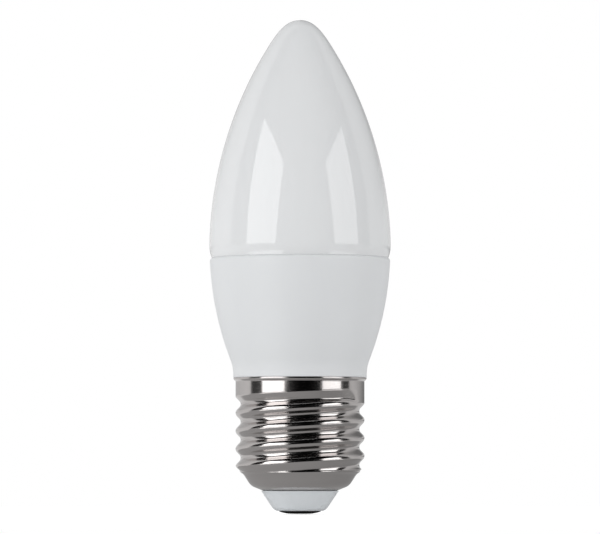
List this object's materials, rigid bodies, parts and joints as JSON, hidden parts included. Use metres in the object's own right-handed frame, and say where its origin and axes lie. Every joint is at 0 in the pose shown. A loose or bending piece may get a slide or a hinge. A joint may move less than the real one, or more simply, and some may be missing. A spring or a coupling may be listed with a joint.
{
  "type": "candle bulb",
  "caption": "Candle-shaped LED lamp: an opal diffuser snapped into a white housing, over a rolled screw cap with an insulator and a centre contact.",
  "frame": {"origin": "centre of the centre contact's flat face, at the lamp's foot", "axes": "+Z along the lamp's axis, from the contact up to the tip; -Y is the front in the picture"},
  "size_m": [0.0368, 0.0368, 0.1],
  "materials": {
    "opal_plastic": "glossy opal white",
    "white_plastic": "satin white",
    "nickel": "bright nickel plating",
    "insulator_white": "moulded, slightly glossy",
    "contact_metal": "plain metal, dark with handling",
    "sink_aluminium": "drawn sheet",
    "white_board": "white solder mask on an aluminium core",
    "led_phosphor": "yellow phosphor in a clear encapsulant",
    "green_board": "green solder mask",
    "tinned_wire": "tinned",
    "capacitor_sleeve": "shrunk sleeve",
    "ferrite": "sintered",
    "copper_wire": "enamelled copper",
    "chip_black": "moulded epoxy",
    "resistor_body": "lacquered",
    "lead_insulation": "soft insulation"
  },
  "bodies": {
    "root": {"diffuser": "opal_plastic", "housing": "white_plastic", "screw_shell": "nickel", "insulator": "insulator_white", "centre_contact": "contact_metal", "heat_sink": "sink_aluminium", "led_board": "white_board", "driver_board": "green_board", "left_board_pin": "tinned_wire", "right_board_pin": "tinned_wire", "smoothing_capacitor": "capacitor_sleeve", "choke_core": "ferrite", "choke_winding": "copper_wire", "bridge_rectifier": "chip_black", "driver_chip": "chip_black", "fuse_resistor": "resistor_body", "live_lead": "lead_insulation", "neutral_lead": "tinned_wire", "led_1": "led_phosphor", "led_2": "led_phosphor", "led_3": "led_phosphor", "led_4": "led_phosphor", "led_5": "led_phosphor", "led_6": "led_phosphor", "led_7": "led_phosphor", "led_8": "led_phosphor"}
  },
  "joints": []
}
